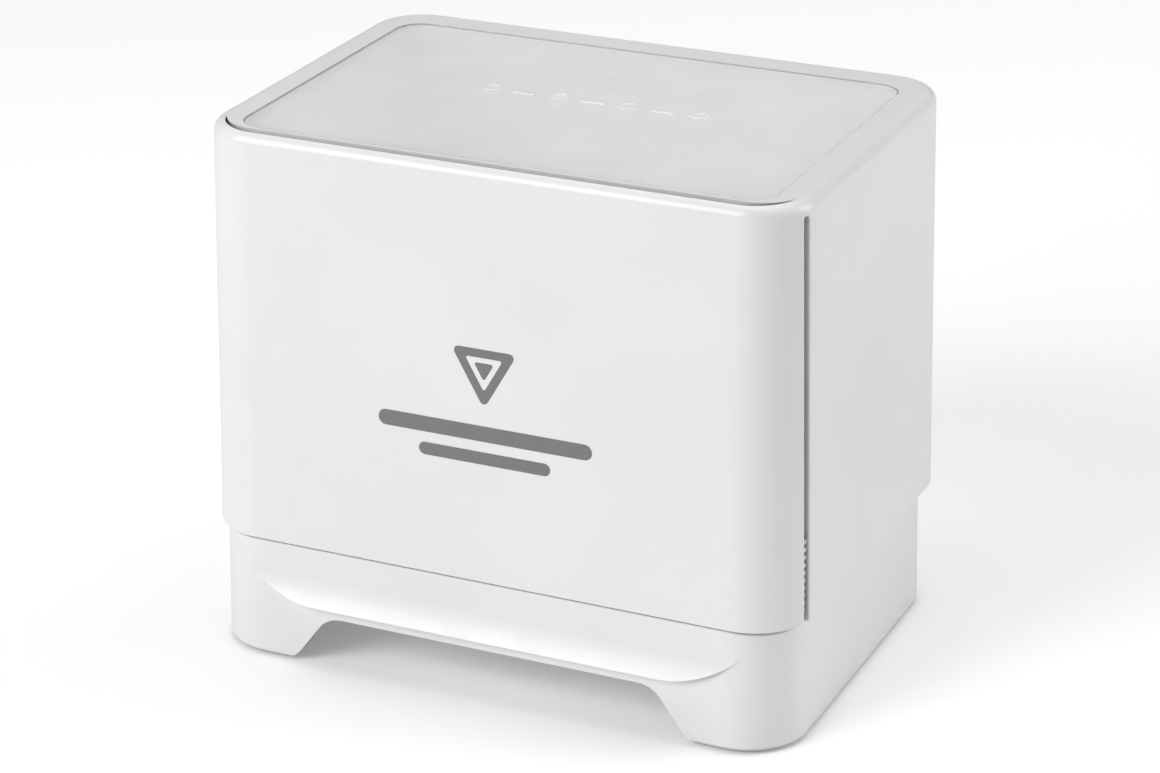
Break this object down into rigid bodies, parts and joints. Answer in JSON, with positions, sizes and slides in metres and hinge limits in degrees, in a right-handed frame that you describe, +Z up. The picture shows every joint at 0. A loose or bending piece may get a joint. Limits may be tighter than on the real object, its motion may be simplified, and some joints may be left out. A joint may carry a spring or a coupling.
{
  "type": "cheese dispenser",
  "caption": "Countertop cheese dispenser: lift-off hopper hood with clear lid, slit-guided follower and spring-return slotted gate on a footed base with a front arch.",
  "frame": {"origin": "centre of the resting surface under the middle of the object", "axes": "+X to the right seen from the front, +Y to the back, +Z up"},
  "size_m": [0.206, 0.1484, 0.1785],
  "materials": {
    "shell": "satin moulded ABS",
    "liner": "fine matt moulded polypropylene",
    "deck": "fine matt moulded ABS",
    "slide_plastic": "smooth acetal",
    "clear": "lightly hazy clear moulded plastic",
    "silicone": "translucent grey silicone",
    "rubber": "matt grey rubber",
    "steel": "bright zinc-plated steel",
    "spring_steel": "drawn stainless steel wire"
  },
  "bodies": {
    "base": {"base_skirt": "shell", "chassis_deck": "deck", "slide_rail_left": "slide_plastic", "slide_rail_right": "slide_plastic", "rail_screws": "steel", "deck_screws": "steel", "foot_pads": "rubber", "spring_rod_left": "steel", "spring_rod_right": "steel", "return_spring_left": "spring_steel", "return_spring_right": "spring_steel"},
    "gate": {"gate_plate": "slide_plastic", "finger_tab": "shell", "tab_screws": "steel"},
    "hood": {"hood_shell": "shell", "hopper_liner": "liner", "liner_screws": "steel"},
    "lid": {"clear_lid": "clear"},
    "follower": {"follower_plate": "liner", "follower_wiper": "silicone", "follower_ear_left": "slide_plastic", "follower_ear_right": "slide_plastic", "ear_screws": "steel", "bail_brackets": "liner"},
    "bail": {"pull_bail": "spring_steel"}
  },
  "joints": [
    {"name": "gate_slide", "type": "slide", "parent": "base", "child": "gate", "axis": [0, -1, 0], "range_m": [0, 0.01], "stiffness_N_per_m": 400, "springref_m": -0.004, "deforming": ["return_spring_left", "return_spring_right"]},
    {"name": "hood_lift", "type": "slide", "parent": "base", "child": "hood", "axis": [0, 0, 1], "range_m": [0, 0.05]},
    {"name": "lid_lift", "type": "slide", "parent": "hood", "child": "lid", "axis": [0, 0, 1], "range_m": [0, 0.04]},
    {"name": "follower_slide", "type": "slide", "parent": "hood", "child": "follower", "axis": [0, 0, 1], "range_m": [0, 0.1]},
    {"name": "bail_fold", "type": "hinge", "parent": "follower", "child": "bail", "pos_m": [0, 0, 0.035], "axis": [1, 0, 0], "range_deg": [0, 90]}
  ]
}
